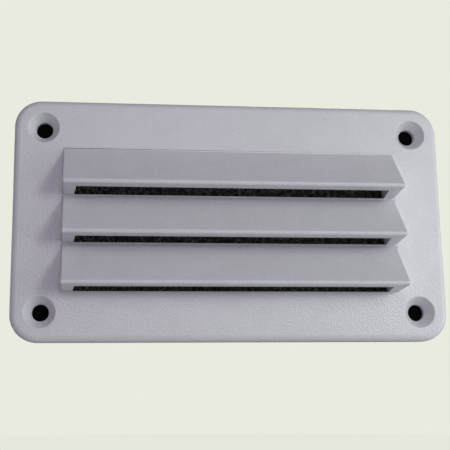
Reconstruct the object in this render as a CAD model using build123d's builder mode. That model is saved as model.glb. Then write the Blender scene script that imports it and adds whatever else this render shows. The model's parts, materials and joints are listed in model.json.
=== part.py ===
from build123d import *
from math import atan, cos, degrees
import os

# Louvred vent cover for a caravan or motorhome, in millimetres.
# X runs along the cover's long side and +Z is up, so the louvres shed rain downwards.
# The wall that the cover is screwed to is the plane Y = 0, and the front faces -Y.
# The origin is the middle of the wall plane, in the middle of the four screw holes.

# Face plate: a shallow pan, hollow at the back
plate_width = 130.0
plate_height = 72.5
plate_depth = 4.5
corner_radius = 8.0
edge_radius = 2.0
wall = 2.0
recess_depth = plate_depth - wall

# Screw holes, each a cone that runs into a short straight hole
hole_spacing_x = 112.5
hole_spacing_z = 55.2
hole_radius = 2.5
countersink_radius = 4.65
countersink_depth = 3.1
countersink_angle = 2 * degrees(atan((countersink_radius - hole_radius) / countersink_depth))
boss_radius = 4.6
rim_break = 0.25

# Louvres: three wedge-shaped hoods, one below the other
louvre_names = ["top", "middle", "bottom"]
louvre_pitch = 14.35
louvre_top = 21.1
land_height = 0.45
hood_height = louvre_pitch - land_height
hood_half_width = 50.25
lip_reach = 12.4
lip_rise = 0.8
lip_radius = 0.8
corner_break = 0.4
end_draft = degrees(atan(0.8 / lip_reach))

# Air slot under each hood, left by the core that hollows the hood
slot_depth = 7.9
slot_half_width_back = 47.0
slot_half_width_front = 45.85
blade_angle = atan((hood_height - lip_rise) / lip_reach)
blade_foot = wall / cos(blade_angle)
overcut = 1.0

# Opening through the plate, and the pocket behind it for the filter and the screen
opening_top = louvre_top - blade_foot
opening_bottom = louvre_top - 3 * louvre_pitch + land_height
opening_centre = (opening_top + opening_bottom) / 2
pocket_margin = 4.5
pocket_height = opening_top - opening_bottom + 2 * pocket_margin
pocket_half_width = 51.0
pocket_corner = 2.0
rib_thickness = 1.2
rib_setback = 0.3
clearance = 0.3

# Filter, screen and retainer, stacked in the pocket from front to back
filter_thickness = 1.0
screen_thickness = 0.35
retainer_thickness = 1.0
retainer_bar = 3.6
retainer_windows = 3

# Heat stakes that hold the stack
stake_radius = 1.0
stake_hole_radius = 1.15
stake_head_radius = 1.6
stake_head_height = 0.5
stake_spacing_x = 45.0
stake_spacing_z = pocket_height - pocket_margin
stake_pocket_radius = 1.75
stake_pocket_depth = 0.55

# Planes parallel to the wall, named by what lies on them. Their normals point to the front.
wall_plane = Plane.XZ
recess_plane = Plane.XZ.offset(recess_depth)
face_plane = Plane.XZ.offset(plate_depth)
screen_plane = Plane.XZ.offset(recess_depth - filter_thickness)
retainer_plane = Plane.XZ.offset(recess_depth - filter_thickness - screen_thickness)
retainer_back = recess_depth - filter_thickness - screen_thickness - retainer_thickness


def hood_top(index):
    """Height of the line where a hood's sloping blade meets the face plate."""
    return louvre_top - index * louvre_pitch


def hood_bottom(index):
    """Height of a hood's lower edge on the face plate."""
    return hood_top(index) - hood_height


def save(piece, name):
    """Label a finished piece and write it as the node of that name."""
    piece.part.label = name
    export_step(piece.part, f"parts/{name}.step")


def make_face_plate():
    """The flange with its rolled rim, screw bosses, air opening and filter pocket."""
    with BuildPart() as plate:
        with BuildSketch(wall_plane):
            RectangleRounded(plate_width, plate_height, corner_radius)
        extrude(amount=plate_depth)
        fillet(plate.edges().group_by(Axis.Y)[0], radius=edge_radius)
        with BuildSketch(wall_plane):
            RectangleRounded(plate_width - 2 * wall, plate_height - 2 * wall, corner_radius - wall)
        extrude(amount=recess_depth, mode=Mode.SUBTRACT)

        with BuildSketch(wall_plane):
            with GridLocations(hole_spacing_x, hole_spacing_z, 2, 2):
                Circle(boss_radius)
        extrude(amount=recess_depth)

        with BuildSketch(wall_plane.offset(rib_setback)):
            with Locations((0, opening_centre)):
                RectangleRounded(
                    2 * (pocket_half_width + rib_thickness),
                    pocket_height + 2 * rib_thickness,
                    pocket_corner + rib_thickness,
                )
                RectangleRounded(2 * pocket_half_width, pocket_height, pocket_corner, mode=Mode.SUBTRACT)
        extrude(amount=recess_depth - rib_setback)

        with BuildSketch(recess_plane):
            for index in range(len(louvre_names)):
                window_top = hood_top(index) - blade_foot
                with Locations((0, (window_top + hood_bottom(index)) / 2)):
                    Rectangle(2 * slot_half_width_back, window_top - hood_bottom(index))
        extrude(amount=wall, mode=Mode.SUBTRACT)

        with Locations(face_plane):
            with GridLocations(hole_spacing_x, hole_spacing_z, 2, 2):
                CounterSinkHole(
                    hole_radius,
                    countersink_radius,
                    depth=plate_depth,
                    counter_sink_angle=countersink_angle,
                )
        hole_rims = plate.edges().filter_by(GeomType.CIRCLE).group_by(Axis.Y)[0]
        fillet(hole_rims, radius=rim_break)
    save(plate, "face_plate")


def make_louvre_hood(index):
    """One hood: a sloping blade with a rounded lip, two end cheeks and a slot underneath."""
    top = hood_top(index)
    bottom = hood_bottom(index)

    with BuildPart() as core:
        for plane, half_width, low, high in (
            (face_plane, slot_half_width_back, bottom, top - blade_foot),
            (
                face_plane.offset(slot_depth),
                slot_half_width_front,
                bottom + lip_rise * slot_depth / lip_reach,
                top - blade_foot - (hood_height - lip_rise) * slot_depth / lip_reach,
            ),
        ):
            with BuildSketch(plane):
                with Locations((0, (low - overcut + high) / 2)):
                    Rectangle(2 * half_width, high - low + overcut)
        loft(ruled=True)

    with BuildPart() as hood:
        with BuildSketch(Plane.YZ):
            with BuildLine():
                Polyline(
                    (-plate_depth, top),
                    (-plate_depth, bottom),
                    (-plate_depth - lip_reach, bottom + lip_rise),
                    close=True,
                )
            make_face()
        extrude(amount=hood_half_width, both=True)
        for side in (-1, 1):
            cheek_plane = Plane(
                origin=(side * hood_half_width, -plate_depth, 0),
                x_dir=(0, 0, 1),
                z_dir=Vector(side, 0, 0).rotate(Axis.Z, -side * end_draft),
            )
            split(bisect_by=cheek_plane, keep=Keep.BOTTOM)
        lip_edge = hood.edges().filter_by(Axis.X).sort_by(Axis.Y)[0]
        fillet(lip_edge, radius=lip_radius)
        cheek_edges = [
            edge
            for edge in hood.edges()
            if edge.length < lip_reach * 2 and edge.center().Y < -plate_depth - 0.01
        ]
        fillet(cheek_edges, radius=corner_break)
        add(core.part, mode=Mode.SUBTRACT)
    save(hood, f"{louvre_names[index]}_louvre_hood")


def stack_outline():
    """Outline shared by the filter, the screen and the retainer, drawn in the open sketch."""
    with Locations((0, opening_centre)):
        RectangleRounded(
            2 * (pocket_half_width - clearance),
            pocket_height - 2 * clearance,
            pocket_corner - clearance,
        )


def stake_places():
    """The six places of the heat stakes, for the open sketch."""
    return [
        (column * stake_spacing_x, opening_centre + row * stake_spacing_z / 2)
        for row in (-1, 1)
        for column in (-1, 0, 1)
    ]


def make_stack_sheet(name, plane, thickness):
    """A flat sheet in the pocket, punched for the heat stakes."""
    with BuildPart() as sheet:
        with BuildSketch(plane):
            stack_outline()
            with Locations(*stake_places()):
                Circle(stake_hole_radius, mode=Mode.SUBTRACT)
        extrude(amount=-thickness)
    save(sheet, name)


def make_retainer_frame():
    """Flat frame that clamps the screen and the filter, with a seat for each stake head."""
    window_width = (2 * slot_half_width_back - (retainer_windows - 1) * retainer_bar) / retainer_windows
    with BuildPart() as frame:
        with BuildSketch(retainer_plane):
            stack_outline()
            with Locations((0, opening_centre)):
                with GridLocations(window_width + retainer_bar, 0, retainer_windows, 1):
                    RectangleRounded(
                        window_width, opening_top - opening_bottom, pocket_corner, mode=Mode.SUBTRACT
                    )
            with Locations(*stake_places()):
                Circle(stake_hole_radius, mode=Mode.SUBTRACT)
        extrude(amount=-retainer_thickness)
        with BuildSketch(wall_plane.offset(retainer_back)):
            with Locations(*stake_places()):
                Circle(stake_pocket_radius)
        extrude(amount=stake_pocket_depth, mode=Mode.SUBTRACT)
    save(frame, "retainer_frame")


def make_heat_stakes():
    """Six pegs of the plate's own plastic, with their ends melted over into round heads."""
    head_seat = retainer_back + stake_pocket_depth
    with BuildPart() as stakes:
        with BuildSketch(recess_plane):
            with Locations(*stake_places()):
                Circle(stake_radius)
        extrude(amount=head_seat - recess_depth)
        with BuildSketch(wall_plane.offset(head_seat)):
            with Locations(*stake_places()):
                Circle(stake_head_radius)
        extrude(amount=-stake_head_height)
        fillet(stakes.edges().group_by(Axis.Y)[-1], radius=stake_head_height * 0.7)
    save(stakes, "heat_stakes")


def make_sealing_gasket():
    """Foam gasket that fills the back of the flange, cut out for the bosses and the pocket."""
    with BuildPart() as gasket:
        with BuildSketch(wall_plane):
            RectangleRounded(
                plate_width - 2 * (wall + clearance),
                plate_height - 2 * (wall + clearance),
                corner_radius - wall - clearance,
            )
            with Locations((0, opening_centre)):
                RectangleRounded(
                    2 * (pocket_half_width + rib_thickness + clearance),
                    pocket_height + 2 * (rib_thickness + clearance),
                    pocket_corner + rib_thickness + clearance,
                    mode=Mode.SUBTRACT,
                )
            with GridLocations(hole_spacing_x, hole_spacing_z, 2, 2):
                Circle(boss_radius + clearance, mode=Mode.SUBTRACT)
        extrude(amount=recess_depth)
    save(gasket, "sealing_gasket")


os.makedirs("parts", exist_ok=True)
make_face_plate()
for louvre in range(len(louvre_names)):
    make_louvre_hood(louvre)
make_stack_sheet("filter_pad", recess_plane, filter_thickness)
make_stack_sheet("insect_screen", screen_plane, screen_thickness)
make_retainer_frame()
make_heat_stakes()
make_sealing_gasket()
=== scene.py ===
"""Looks of the louvred vent cover: moulded ABS, a felt filter, a woven insect screen and a foam gasket."""

import json
import math
import random

import bpy
from mathutils import Euler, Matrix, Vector, noise


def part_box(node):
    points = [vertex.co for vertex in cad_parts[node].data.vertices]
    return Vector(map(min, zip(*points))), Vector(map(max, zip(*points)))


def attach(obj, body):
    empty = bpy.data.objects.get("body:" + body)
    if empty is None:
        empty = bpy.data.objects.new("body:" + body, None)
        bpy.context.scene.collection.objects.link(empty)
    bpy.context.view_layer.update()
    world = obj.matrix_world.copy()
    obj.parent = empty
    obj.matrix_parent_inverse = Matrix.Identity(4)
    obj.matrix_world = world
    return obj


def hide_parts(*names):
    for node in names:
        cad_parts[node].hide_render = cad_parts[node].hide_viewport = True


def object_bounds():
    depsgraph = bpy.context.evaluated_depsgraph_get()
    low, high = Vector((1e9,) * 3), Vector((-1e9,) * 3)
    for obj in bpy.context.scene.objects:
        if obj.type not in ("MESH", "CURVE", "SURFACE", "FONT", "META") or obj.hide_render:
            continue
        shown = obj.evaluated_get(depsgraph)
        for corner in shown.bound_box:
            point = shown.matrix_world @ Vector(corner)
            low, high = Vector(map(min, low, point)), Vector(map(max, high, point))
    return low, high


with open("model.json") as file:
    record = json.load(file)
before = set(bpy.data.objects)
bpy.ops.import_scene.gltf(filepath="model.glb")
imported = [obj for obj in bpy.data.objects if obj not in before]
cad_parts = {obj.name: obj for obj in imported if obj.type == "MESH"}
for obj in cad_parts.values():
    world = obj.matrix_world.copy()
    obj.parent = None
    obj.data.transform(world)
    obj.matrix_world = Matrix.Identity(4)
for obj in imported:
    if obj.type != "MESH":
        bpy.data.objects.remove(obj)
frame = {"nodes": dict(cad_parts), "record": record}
cad_low, cad_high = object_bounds()

MM = 0.001
BODY = "root"
HOODS = ["top_louvre_hood", "middle_louvre_hood", "bottom_louvre_hood"]

# Camera: it looks up a little and from left of the middle
CAMERA_AIM = Vector((-13.0, -4.5, -8.9)) * MM
CAMERA_DISTANCE = 221.7 * MM
CAMERA_AZIMUTH = -5.0
CAMERA_ELEVATION = -9.5
CAMERA_ROLL = -0.4
LENS = 60.0
SHIFT_X = 0.080
SHIFT_Y = 0.053

# Colours, linear
BACKDROP = (0.812, 0.831, 0.737, 1)
AMBIENT = (0.86, 0.78, 1.0, 1)
AMBIENT_STRENGTH = 0.115
FLOOR_PALE = (0.60, 0.62, 0.56, 1)
ABS_WHITE = (0.80, 0.795, 0.83, 1)

# Root fillets that blend each hood into the face plate
FILLET_HEIGHT = 0.20 * MM
FILLET_SINK = 0.04 * MM
FILLET_STEPS = 5
LIP_REACH = 12.4 * MM
CHEEK_DRAFT = 0.8 * MM
LIP_RISE = 0.8 * MM

# Rounded edges of the plastic, and the mask of the painted highlight that pales them
ABS_EDGE = 0.26 * MM
BLACK_EDGE = 0.15 * MM
EDGE_HIGHLIGHT_START = 0.92
EDGE_HIGHLIGHT_END = 0.998

# Felt, and the loose fibres that lie on both of its faces
FELT_VOXEL = 0.36 * MM
CLUMP_SIZE = 1.5 * MM
CLUMP_DEPTH = 0.22 * MM
TUFT_SIZE = 0.6 * MM
TUFT_DEPTH = 0.16 * MM
FIBRE_RADIUS = 0.045 * MM
FIBRE_COUNT = 2600
FIBRE_POINTS = 6
FIBRE_MARGIN = 2.5 * MM
FIBRE_SINK = 0.14 * MM
FIBRE_LIFT = 0.08 * MM

# Woven screen.
MESH_PITCH = 1.00 * MM
WIRE_RADIUS = 0.135 * MM
WEAVE_RISE = 0.055 * MM
WIRE_SIDES = 4
STAKE_HOLE = 1.15 * MM
STAKE_HEAD = 1.6 * MM

# Foam
FOAM_VOXEL = 0.38 * MM
CELL_SIZE = 0.9 * MM
CELL_DEPTH = 0.16 * MM
SWELL_SIZE = 9 * MM
SWELL_DEPTH = 0.10 * MM

# Stage: the floor below the vent, and the black discs of painted shade behind the screw holes
FLOOR_DROP = 0.33
FLOOR_RADIUS = 4.0
FLOOR_SIDES = 96
DISC_SIDES = 48
DISC_OVERLAP = 0.25 * MM
DISC_GAP = 0.05 * MM


# ---------------------------------------------------------------- materials

class Nodes:
    """Builds one procedural material on a Principled shader."""

    def __init__(self, name, colour, roughness, ior=1.5):
        self.material = bpy.data.materials.new(name)
        self.material.use_nodes = True
        self.tree = self.material.node_tree
        self.shader = self.tree.nodes["Principled BSDF"]
        self.shader.inputs["Base Color"].default_value = colour
        self.shader.inputs["Roughness"].default_value = roughness
        self.shader.inputs["IOR"].default_value = ior
        self.place = self.tree.nodes.new("ShaderNodeTexCoord").outputs["Object"]

    def add(self, kind, **values):
        """A node with some of its properties or input sockets set."""
        node = self.tree.nodes.new(kind)
        for key, value in values.items():
            if hasattr(node, key):
                setattr(node, key, value)
            else:
                node.inputs[key.replace("_", " ")].default_value = value
        return node

    def link(self, output, target):
        self.tree.links.new(output, target)

    def noise(self, size, detail=3.0, roughness=0.55):
        """Noise whose blobs are about size metres wide."""
        node = self.add("ShaderNodeTexNoise", Scale=1 / size, Detail=detail, Roughness=roughness)
        self.link(self.place, node.inputs["Vector"])
        return node.outputs["Fac"]

    def cells(self, size):
        """Distance to the nearest of cells about size metres wide."""
        node = self.add("ShaderNodeTexVoronoi", feature="F1", Scale=1 / size)
        self.link(self.place, node.inputs["Vector"])
        return node.outputs["Distance"]

    def ramp(self, source, *stops):
        """A colour ramp from (position, colour) pairs."""
        node = self.add("ShaderNodeValToRGB")
        elements = node.color_ramp.elements
        while len(elements) < len(stops):
            elements.new(0.5)
        for element, (position, colour) in zip(elements, stops):
            element.position = position
            element.color = colour
        self.link(source, node.inputs["Fac"])
        return node.outputs["Color"]

    def remap(self, source, low, high, start=0.3, end=0.7):
        """source, from start to end, as low to high."""
        node = self.add("ShaderNodeMapRange")
        for key, value in zip(("From Min", "From Max", "To Min", "To Max"), (start, end, low, high)):
            node.inputs[key].default_value = value
        self.link(source, node.inputs["Value"])
        return node.outputs["Result"]

    def blend(self, factor, first, second, mode="MIX"):
        """first and second mixed, each a colour or a socket."""
        node = self.add("ShaderNodeMix", data_type="RGBA", blend_type=mode)
        for socket, value in ((node.inputs[0], factor), (node.inputs[6], first), (node.inputs[7], second)):
            if isinstance(value, bpy.types.NodeSocket):
                self.link(value, socket)
            else:
                socket.default_value = value
        return node.outputs[2]

    def edges(self, radius):
        """The normal of edges rounded to radius, and a mask that is 1 on them, used for a painted edge
        highlight.
        """
        bevel = self.add("ShaderNodeBevel", samples=6, Radius=radius)
        surface = self.add("ShaderNodeNewGeometry")
        alike = self.add("ShaderNodeVectorMath", operation="DOT_PRODUCT")
        self.link(bevel.outputs["Normal"], alike.inputs[0])
        self.link(surface.outputs["Normal"], alike.inputs[1])
        edge_highlight_mask = self.remap(alike.outputs["Value"], 1.0, 0.0, EDGE_HIGHLIGHT_START, EDGE_HIGHLIGHT_END)
        return {"normal": bevel.outputs["Normal"], "edge_highlight_mask": edge_highlight_mask}

    def bump(self, height, distance, normal=None):
        """height, from 0 to 1, as relief distance metres deep."""
        node = self.add("ShaderNodeBump", Strength=1.0, Distance=distance)
        self.link(height, node.inputs["Height"])
        if normal is not None:
            self.link(normal, node.inputs["Normal"])
        return node.outputs["Normal"]


def make_abs():
    """White ABS: spark-eroded grain, faint flow mottling, and rounded edges paled by a painted highlight.
    """
    m = Nodes("cover_abs", ABS_WHITE, 0.33, ior=1.53)
    edge = m.edges(ABS_EDGE)
    mottle = m.noise(7 * MM, detail=4.0)
    speck = m.noise(0.50 * MM, detail=2.0)
    tone = m.ramp(mottle, (0.35, (0.78, 0.762, 0.808, 1)), (0.65, (0.81, 0.79, 0.838, 1)))
    grain_tone = m.ramp(speck, (0.3, (0.92, 0.92, 0.93, 1)), (0.7, (1, 1, 1, 1)))
    body = m.blend(1.0, tone, grain_tone, "MULTIPLY")
    # Painted highlight: the base colour is paled to (0.86, 0.85, 0.89) on the rounded edges.
    m.link(m.blend(edge["edge_highlight_mask"], body, (0.86, 0.85, 0.89, 1)), m.shader.inputs["Base Color"])
    m.link(m.remap(speck, 0.26, 0.40), m.shader.inputs["Roughness"])
    grain = m.bump(m.cells(0.55 * MM), 0.060 * MM, edge["normal"])
    fine = m.bump(m.noise(0.22 * MM, detail=2.0), 0.016 * MM, grain)
    m.link(m.bump(mottle, 0.006 * MM, fine), m.shader.inputs["Normal"])
    return m.material


def make_black_plastic():
    """Black moulded plastic, satin, with a fine grain and rounded edges."""
    m = Nodes("retainer_black", (0.02, 0.02, 0.022, 1), 0.5)
    bevel = m.add("ShaderNodeBevel", samples=4, Radius=BLACK_EDGE)
    speck = m.noise(0.5 * MM)
    tone = m.ramp(m.noise(5 * MM), (0.35, (0.016, 0.016, 0.018, 1)), (0.65, (0.030, 0.030, 0.033, 1)))
    m.link(tone, m.shader.inputs["Base Color"])
    m.link(m.remap(speck, 0.40, 0.60), m.shader.inputs["Roughness"])
    m.link(m.bump(m.cells(0.3 * MM), 0.02 * MM, bevel.outputs["Normal"]), m.shader.inputs["Normal"])
    return m.material


def make_felt():
    """Matted black felt with clumps of paler grey-green fibre."""
    m = Nodes("filter_felt", (0.02, 0.02, 0.018, 1), 0.95)
    m.shader.inputs["Specular IOR Level"].default_value = 0.25
    clumps = m.noise(1.1 * MM, detail=4.0, roughness=0.7)
    strands = m.noise(0.35 * MM, detail=3.0, roughness=0.7)
    body = m.ramp(clumps, (0.38, (0.010, 0.010, 0.010, 1)), (0.60, (0.125, 0.140, 0.110, 1)))
    hair = m.ramp(strands, (0.45, (0.25, 0.25, 0.25, 1)), (0.65, (1.9, 1.95, 1.8, 1)))
    m.link(m.blend(1.0, body, hair, "MULTIPLY"), m.shader.inputs["Base Color"])
    m.link(m.bump(strands, 0.12 * MM), m.shader.inputs["Normal"])
    return m.material


def make_fibre():
    """Single synthetic fibres, from charcoal to grey-green."""
    m = Nodes("felt_fibre", (0.05, 0.055, 0.045, 1), 0.7)
    patches = m.noise(1.6 * MM, detail=1.0)
    tone = m.ramp(patches, (0.42, (0.03, 0.03, 0.028, 1)), (0.62, (0.40, 0.43, 0.36, 1)))
    m.link(tone, m.shader.inputs["Base Color"])
    return m.material


def make_screen():
    """Black coated glass-fibre yarn."""
    m = Nodes("screen_yarn", (0.018, 0.018, 0.02, 1), 0.42)
    tone = m.ramp(m.noise(2 * MM), (0.35, (0.014, 0.014, 0.016, 1)), (0.65, (0.032, 0.032, 0.034, 1)))
    m.link(tone, m.shader.inputs["Base Color"])
    m.link(m.bump(m.noise(0.12 * MM), 0.01 * MM), m.shader.inputs["Normal"])
    return m.material


def make_foam():
    """Dark closed-cell foam with open surface cells, whose hollows are darkened with painted shade."""
    m = Nodes("gasket_foam", (0.05, 0.05, 0.052, 1), 0.85)
    cells = m.cells(0.42 * MM)
    # Painted shade: the tone darkens towards the middle of each cell, where the bump sinks.
    tone = m.ramp(cells, (0.1, (0.022, 0.022, 0.024, 1)), (0.6, (0.075, 0.075, 0.078, 1)))
    m.link(tone, m.shader.inputs["Base Color"])
    m.link(m.bump(cells, 0.12 * MM), m.shader.inputs["Normal"])
    return m.material


def make_floor_material():
    """Pale matt floor that lights the vent from below and looks nearly as bright as the backdrop."""
    m = Nodes("floor_pale", FLOOR_PALE, 0.9)
    m.shader.inputs["Specular IOR Level"].default_value = 0.0
    m.shader.inputs["Emission Color"].default_value = BACKDROP
    seen = m.add("ShaderNodeLightPath").outputs["Is Camera Ray"]
    m.link(m.blend(seen, FLOOR_PALE, (0.06, 0.06, 0.055, 1)), m.shader.inputs["Base Color"])
    m.link(m.remap(seen, 0.0, 0.96, 0.0, 1.0), m.shader.inputs["Emission Strength"])
    return m.material


# ---------------------------------------------------------------- mesh helpers

def piece_from(name, verts, faces, material):
    """A mesh piece on the vent's one body."""
    mesh = bpy.data.meshes.new(name)
    mesh.from_pydata(verts, [], faces)
    mesh.materials.append(material)
    mesh.polygons.foreach_set("use_smooth", [True] * len(mesh.polygons))
    mesh.update()
    piece = bpy.data.objects.new(name, mesh)
    bpy.context.scene.collection.objects.link(piece)
    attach(piece, BODY)
    return piece


def remeshed(name, node, voxel, material):
    """A finely remeshed copy of a CAD node, which it replaces."""
    source = bpy.data.objects.new(name + ".source", frame["nodes"][node].data.copy())
    bpy.context.scene.collection.objects.link(source)
    modifier = source.modifiers.new("voxels", "REMESH")
    modifier.mode = "VOXEL"
    modifier.voxel_size = voxel
    modifier.adaptivity = 0.0
    evaluated = source.evaluated_get(bpy.context.evaluated_depsgraph_get())
    mesh = bpy.data.meshes.new_from_object(evaluated)
    bpy.data.objects.remove(source)
    mesh.name = name
    mesh.materials.clear()
    mesh.materials.append(material)
    mesh.polygons.foreach_set("use_smooth", [True] * len(mesh.polygons))
    piece = bpy.data.objects.new(name, mesh)
    bpy.context.scene.collection.objects.link(piece)
    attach(piece, BODY)
    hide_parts(node)
    return piece


def roughen(piece, depth_at):
    """Pushes each vertex inwards along its normal by depth_at(place, normal)."""
    mesh = piece.data
    moves = [v.normal * -depth_at(v.co, v.normal) for v in mesh.vertices]
    for vertex, move in zip(mesh.vertices, moves):
        vertex.co += move
    mesh.update()


class TubeBuilder:
    """Collects thin tubes into one mesh."""

    def __init__(self, radius, sides):
        self.radius = radius
        self.sides = sides
        self.verts = []
        self.faces = []

    def add(self, points, taper=1.0):
        """A closed tube along points; its tips are taper times as thick."""
        first = len(self.verts)
        last = len(points) - 1
        for i, point in enumerate(points):
            along = (points[min(i + 1, last)] - points[max(i - 1, 0)]).normalized()
            side = along.cross(Vector((0, 1, 0)))
            side = side.normalized() if side.length > 1e-6 else Vector((1, 0, 0))
            other = along.cross(side)
            radius = self.radius * (taper if i in (0, last) else 1.0)
            for k in range(self.sides):
                angle = 2 * math.pi * (k + 0.5) / self.sides
                self.verts.append(point + (side * math.cos(angle) + other * math.sin(angle)) * radius)
        for i in range(last):
            for k in range(self.sides):
                a = first + i * self.sides + k
                b = first + i * self.sides + (k + 1) % self.sides
                self.faces.append((a, b, b + self.sides, a + self.sides))
        start = [first + k for k in range(self.sides)]
        end = [first + last * self.sides + k for k in range(self.sides)]
        self.faces.append(tuple(reversed(start)))
        self.faces.append(tuple(end))


# ---------------------------------------------------------------- pieces

def dress_cad_nodes():
    """Procedural materials on the CAD nodes that keep their own shape."""
    plastic = make_abs()
    black = make_black_plastic()
    finishes = {name: plastic for name in ["face_plate", "heat_stakes", *HOODS]}
    finishes["retainer_frame"] = black
    for node, material in finishes.items():
        for material_slot in frame["nodes"][node].material_slots:
            material_slot.material = material
    return plastic


def arc_offset(height, slope):
    """How far a fillet reaches out from the foot of a wall that leans in by slope, at that height."""
    tangent = FILLET_HEIGHT * math.hypot(1, slope)
    corner = math.acos(-slope / math.hypot(1, slope))
    radius = tangent * math.tan(corner / 2)
    return tangent - math.sqrt(max(radius ** 2 - (radius - height) ** 2, 0.0))


def add_root_fillets(plastic):
    """A small concave fillet round the foot of every hood, which moulds it into the face plate."""
    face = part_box(HOODS[0])[1].y
    verts = []
    faces = []
    for index, node in enumerate(HOODS):
        low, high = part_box(node)
        rise = (high.z - low.z - LIP_RISE) / LIP_REACH
        draft = CHEEK_DRAFT / LIP_REACH
        half_width = high.x
        heights = [FILLET_HEIGHT * (step / FILLET_STEPS) ** 2 for step in range(FILLET_STEPS + 1)]
        ends = [arc_offset(h, draft) for h in heights]
        tops = [arc_offset(h, rise) if index == 0 else -h * rise for h in heights]
        heights = [-FILLET_SINK] + heights + [FILLET_HEIGHT, -FILLET_SINK]
        ends = [ends[0]] + ends + [ends[-1] - 2 * FILLET_SINK, -4 * FILLET_SINK]
        tops = [tops[0]] + tops + [tops[-1] - 2 * FILLET_SINK, tops[0] - 8 * FILLET_SINK]

        def section(side, at_top):
            return [
                Vector((side * (half_width + e), face - h, high.z + t if at_top else low.z))
                for h, e, t in zip(heights, ends, tops)
            ]

        path = [section(-1, False), section(-1, True), section(1, True), section(1, False)]
        runs = [path] if index == 0 else [path[:2], path[2:]]
        count = len(heights)
        for run in runs:
            first = len(verts)
            for ring in run:
                verts.extend(ring)
            for s in range(len(run) - 1):
                for k in range(count):
                    a = first + s * count + k
                    b = first + s * count + (k + 1) % count
                    faces.append((a, a + count, b + count, b))
            faces.append(tuple(first + k for k in range(count)))
            end = first + (len(run) - 1) * count
            faces.append(tuple(end + k for k in reversed(range(count))))
    piece_from("hood_root_fillets", verts, faces, plastic)


def add_felt():
    """The filter: a matted felt with clumps, and loose fibres lying on both sides."""
    felt = remeshed("felt_filter", "filter_pad", FELT_VOXEL, make_felt())
    low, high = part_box("filter_pad")

    def clump_depth(place, normal):
        if abs(normal.y) < 0.3:
            return 0.0
        coarse = 0.5 + 0.5 * noise.noise(place / CLUMP_SIZE)
        fine = 0.5 + 0.5 * noise.noise(place / TUFT_SIZE + Vector((7, 3, 5)))
        return CLUMP_DEPTH * coarse + TUFT_DEPTH * fine

    roughen(felt, clump_depth)

    fibres = TubeBuilder(FIBRE_RADIUS, 3)
    rng = random.Random(11)
    for number in range(FIBRE_COUNT):
        front = number % 3 > 0
        surface = low.y + FIBRE_SINK if front else high.y - FIBRE_SINK
        place = Vector((
            rng.uniform(low.x + FIBRE_MARGIN, high.x - FIBRE_MARGIN),
            surface,
            rng.uniform(low.z + FIBRE_MARGIN, high.z - FIBRE_MARGIN),
        ))
        heading = rng.uniform(0, 2 * math.pi)
        curl = rng.uniform(-0.9, 0.9)
        step = rng.uniform(0.25, 0.6) * MM
        points = []
        for _ in range(FIBRE_POINTS):
            lift = rng.uniform(-FIBRE_LIFT, FIBRE_LIFT)
            points.append(Vector((place.x, surface + lift, place.z)))
            place = place + Vector((math.cos(heading), 0, math.sin(heading))) * step
            heading += curl + rng.uniform(-0.25, 0.25)
        fibres.add(points, taper=0.4)
    loose = piece_from("felt_fibres", fibres.verts, fibres.faces, make_fibre())


def stake_centres():
    """Centres of the heat stakes, from the corners of their node."""
    low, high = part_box("heat_stakes")
    columns = (low.x + STAKE_HEAD, 0.0, high.x - STAKE_HEAD)
    rows = (low.z + STAKE_HEAD, high.z - STAKE_HEAD)
    return [(x, z) for x in columns for z in rows]


def add_insect_screen():
    """Plain-woven yarns, over and under one another, cut out for the heat stakes."""
    low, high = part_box("insect_screen")
    middle = (low.y + high.y) / 2
    holes = stake_centres()
    yarns = TubeBuilder(WIRE_RADIUS, WIRE_SIDES)
    columns = int((high.x - low.x) / MESH_PITCH)
    rows = int((high.z - low.z) / MESH_PITCH)
    start_x = (low.x + high.x - (columns - 1) * MESH_PITCH) / 2
    start_z = (low.z + high.z - (rows - 1) * MESH_PITCH) / 2

    def is_cut(x, z):
        return any(math.hypot(x - hx, z - hz) < STAKE_HOLE + WIRE_RADIUS for hx, hz in holes)

    def weave(count, place_at):
        """One yarn, split where a stake passes through it."""
        run = []
        for step in range(2 * count - 1):
            point = place_at(step / 2)
            if is_cut(point.x, point.z):
                if len(run) > 2:
                    yarns.add(run)
                run = []
            else:
                run.append(point)
        if len(run) > 2:
            yarns.add(run)

    for row in range(rows):
        def weft(step, row=row):
            rise = WEAVE_RISE * math.cos(math.pi * (step + row))
            return Vector((start_x + step * MESH_PITCH, middle + rise, start_z + row * MESH_PITCH))
        weave(columns, weft)
    for column in range(columns):
        def warp(step, column=column):
            rise = -WEAVE_RISE * math.cos(math.pi * (step + column))
            return Vector((start_x + column * MESH_PITCH, middle + rise, start_z + step * MESH_PITCH))
        weave(rows, warp)

    screen = piece_from("woven_insect_screen", yarns.verts, yarns.faces, make_screen())
    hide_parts("insect_screen")


def add_gasket():
    """The foam gasket, with cut cells over its surface."""
    gasket = remeshed("foam_gasket", "sealing_gasket", FOAM_VOXEL, make_foam())

    def cell_depth(place, normal):
        distance = noise.voronoi(place / CELL_SIZE)[0][0]
        hollow = max(0.0, 0.45 - distance) / 0.45
        swell = 0.5 + 0.5 * noise.noise(place / SWELL_SIZE)
        return CELL_DEPTH * hollow + SWELL_DEPTH * swell

    roughen(gasket, cell_depth)


# ---------------------------------------------------------------- stage

def add_floor():
    """A round pale floor well below the vent."""
    verts = []
    level = cad_low.z - FLOOR_DROP
    for k in range(FLOOR_SIDES):
        angle = 2 * math.pi * k / FLOOR_SIDES
        verts.append((FLOOR_RADIUS * math.cos(angle), FLOOR_RADIUS * math.sin(angle), level))
    mesh = bpy.data.meshes.new("floor")
    mesh.from_pydata(verts, [], [tuple(range(FLOOR_SIDES))])
    mesh.materials.append(make_floor_material())
    floor = bpy.data.objects.new("floor", mesh)
    bpy.context.scene.collection.objects.link(floor)


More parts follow.
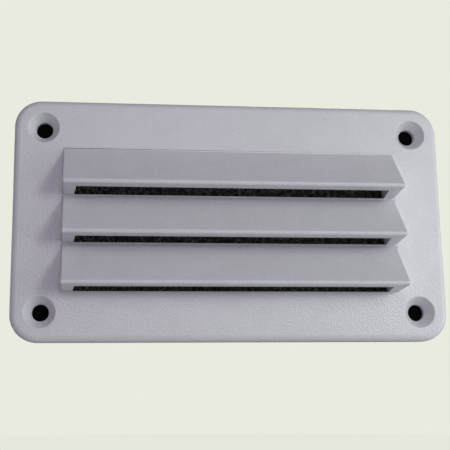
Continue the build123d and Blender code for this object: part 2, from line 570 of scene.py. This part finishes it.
def make_hole_shade_material():
    """Painted shade: black for all light, but clear to a camera that looks at it from behind."""
    material = bpy.data.materials.new("hole_shade_black")
    material.use_nodes = True
    tree = material.node_tree
    tree.nodes.remove(tree.nodes["Principled BSDF"])
    black = tree.nodes.new("ShaderNodeBsdfDiffuse")
    # Painted shade: a near-black sheet where the holes have only shade behind them.
    black.inputs["Color"].default_value = (0.004, 0.004, 0.004, 1)
    clear = tree.nodes.new("ShaderNodeBsdfTransparent")
    geometry = tree.nodes.new("ShaderNodeNewGeometry")
    ray = tree.nodes.new("ShaderNodeLightPath")
    behind = tree.nodes.new("ShaderNodeMath")
    behind.operation = "MULTIPLY"
    tree.links.new(ray.outputs["Is Camera Ray"], behind.inputs[0])
    tree.links.new(geometry.outputs["Backfacing"], behind.inputs[1])
    mix = tree.nodes.new("ShaderNodeMixShader")
    tree.links.new(behind.outputs["Value"], mix.inputs[0])
    tree.links.new(black.outputs["BSDF"], mix.inputs[1])
    tree.links.new(clear.outputs["BSDF"], mix.inputs[2])
    tree.links.new(mix.outputs[0], tree.nodes["Material Output"].inputs["Surface"])
    return material


def add_hole_shade_discs():
    """A black disc of painted shade behind each screw hole, because the holes are black in the photo."""
    pattern = next(mount for mount in frame["record"]["mounts"] if mount["name"] == "screw_holes")
    centre = Vector(pattern["pos_m"])
    dims = pattern["dims"]
    radius = dims["hole_r_mm"] * MM + DISC_OVERLAP
    verts = []
    faces = []
    for column in (-0.5, 0.5):
        for row in (-0.5, 0.5):
            x = centre.x + column * dims["spacing_x_mm"] * MM
            z = centre.z + row * dims["spacing_y_mm"] * MM
            faces.append(tuple(range(len(verts), len(verts) + DISC_SIDES)))
            for k in range(DISC_SIDES):
                angle = 2 * math.pi * k / DISC_SIDES
                place = (x + radius * math.cos(angle), centre.y + DISC_GAP, z + radius * math.sin(angle))
                verts.append(place)
    mesh = bpy.data.meshes.new("hole_shade_discs")
    mesh.from_pydata(verts, [], faces)
    mesh.materials.append(make_hole_shade_material())
    discs = bpy.data.objects.new("hole_shade_discs", mesh)
    bpy.context.scene.collection.objects.link(discs)


def add_world():
    """A pale backdrop that lights the vent more weakly than it shows."""
    world = bpy.data.worlds.new("studio")
    bpy.context.scene.world = world
    world.use_nodes = True
    tree = world.node_tree
    ambient = tree.nodes["Background"]
    ambient.inputs["Color"].default_value = AMBIENT
    ambient.inputs["Strength"].default_value = AMBIENT_STRENGTH
    backdrop = tree.nodes.new("ShaderNodeBackground")
    backdrop.inputs["Color"].default_value = BACKDROP
    ray = tree.nodes.new("ShaderNodeLightPath")
    mix = tree.nodes.new("ShaderNodeMixShader")
    tree.links.new(ray.outputs["Is Camera Ray"], mix.inputs[0])
    tree.links.new(ambient.outputs["Background"], mix.inputs[1])
    tree.links.new(backdrop.outputs["Background"], mix.inputs[2])
    tree.links.new(mix.outputs[0], tree.nodes["World Output"].inputs["Surface"])


# Lights: name, place, width, power in watts, colour
LIGHTS = [
    ("side_right", (0.48, -0.14, 0.00), 0.36, 0.90, (0.94, 1.00, 0.96)),
    ("front_right", (0.30, -0.46, 0.06), 0.12, 0.63, (0.90, 0.97, 0.95)),
    ("high_right", (0.24, -0.44, 0.17), 0.12, 0.17, (0.74, 1.00, 0.62)),
    ("high_left", (-0.05, -0.46, 0.22), 0.12, 0.07, (0.97, 0.86, 1.00)),
    ("front_middle", (0.00, -0.50, 0.08), 0.12, 0.28, (0.94, 0.82, 1.00)),
    ("low_front", (0.20, -0.45, -0.12), 0.25, 0.07, (0.85, 0.85, 1.00)),
    ("near_right", (0.16, -0.11, -0.12), 0.06, 0.02, (0.80, 0.95, 1.00)),
    ("side_left", (-0.48, -0.16, 0.02), 0.36, 0.14, (1.00, 0.97, 0.97)),
    ("back_right", (0.25, 0.42, 0.20), 0.30, 1.3, (1.00, 0.98, 0.96)),
    ("back_left", (-0.30, 0.35, -0.02), 0.30, 0.7, (0.92, 0.95, 1.00)),
]


def add_lights():
    """Soft square lights that all point at the vent."""
    for name, place, width, power, colour in LIGHTS:
        data = bpy.data.lights.new(name, "AREA")
        data.shape = "SQUARE"
        data.size = width
        data.energy = power
        data.color = colour
        light = bpy.data.objects.new(name, data)
        light.location = place
        light.rotation_euler = (-Vector(place)).to_track_quat("-Z", "Y").to_euler()
        bpy.context.scene.collection.objects.link(light)


def add_camera():
    data = bpy.data.cameras.new("camera")
    data.lens = LENS
    data.sensor_width = 36.0
    data.shift_x = SHIFT_X
    data.shift_y = SHIFT_Y
    camera = bpy.data.objects.new("camera", data)
    azimuth = math.radians(CAMERA_AZIMUTH)
    elevation = math.radians(CAMERA_ELEVATION)
    back = Vector((
        math.sin(azimuth) * math.cos(elevation),
        -math.cos(azimuth) * math.cos(elevation),
        math.sin(elevation),
    ))
    camera.location = CAMERA_AIM + back * CAMERA_DISTANCE
    turn = (-back).to_track_quat("-Z", "Y")
    roll = Euler((0, 0, math.radians(CAMERA_ROLL))).to_quaternion()
    camera.rotation_mode = "QUATERNION"
    camera.rotation_quaternion = turn @ roll
    data.clip_start = 0.01
    bpy.context.scene.collection.objects.link(camera)
    bpy.context.scene.camera = camera


cover_plastic = dress_cad_nodes()
add_root_fillets(cover_plastic)
add_felt()
add_insect_screen()
add_gasket()
add_floor()
add_hole_shade_discs()
add_world()
add_lights()
add_camera()
bpy.context.scene.view_settings.view_transform = "Standard"
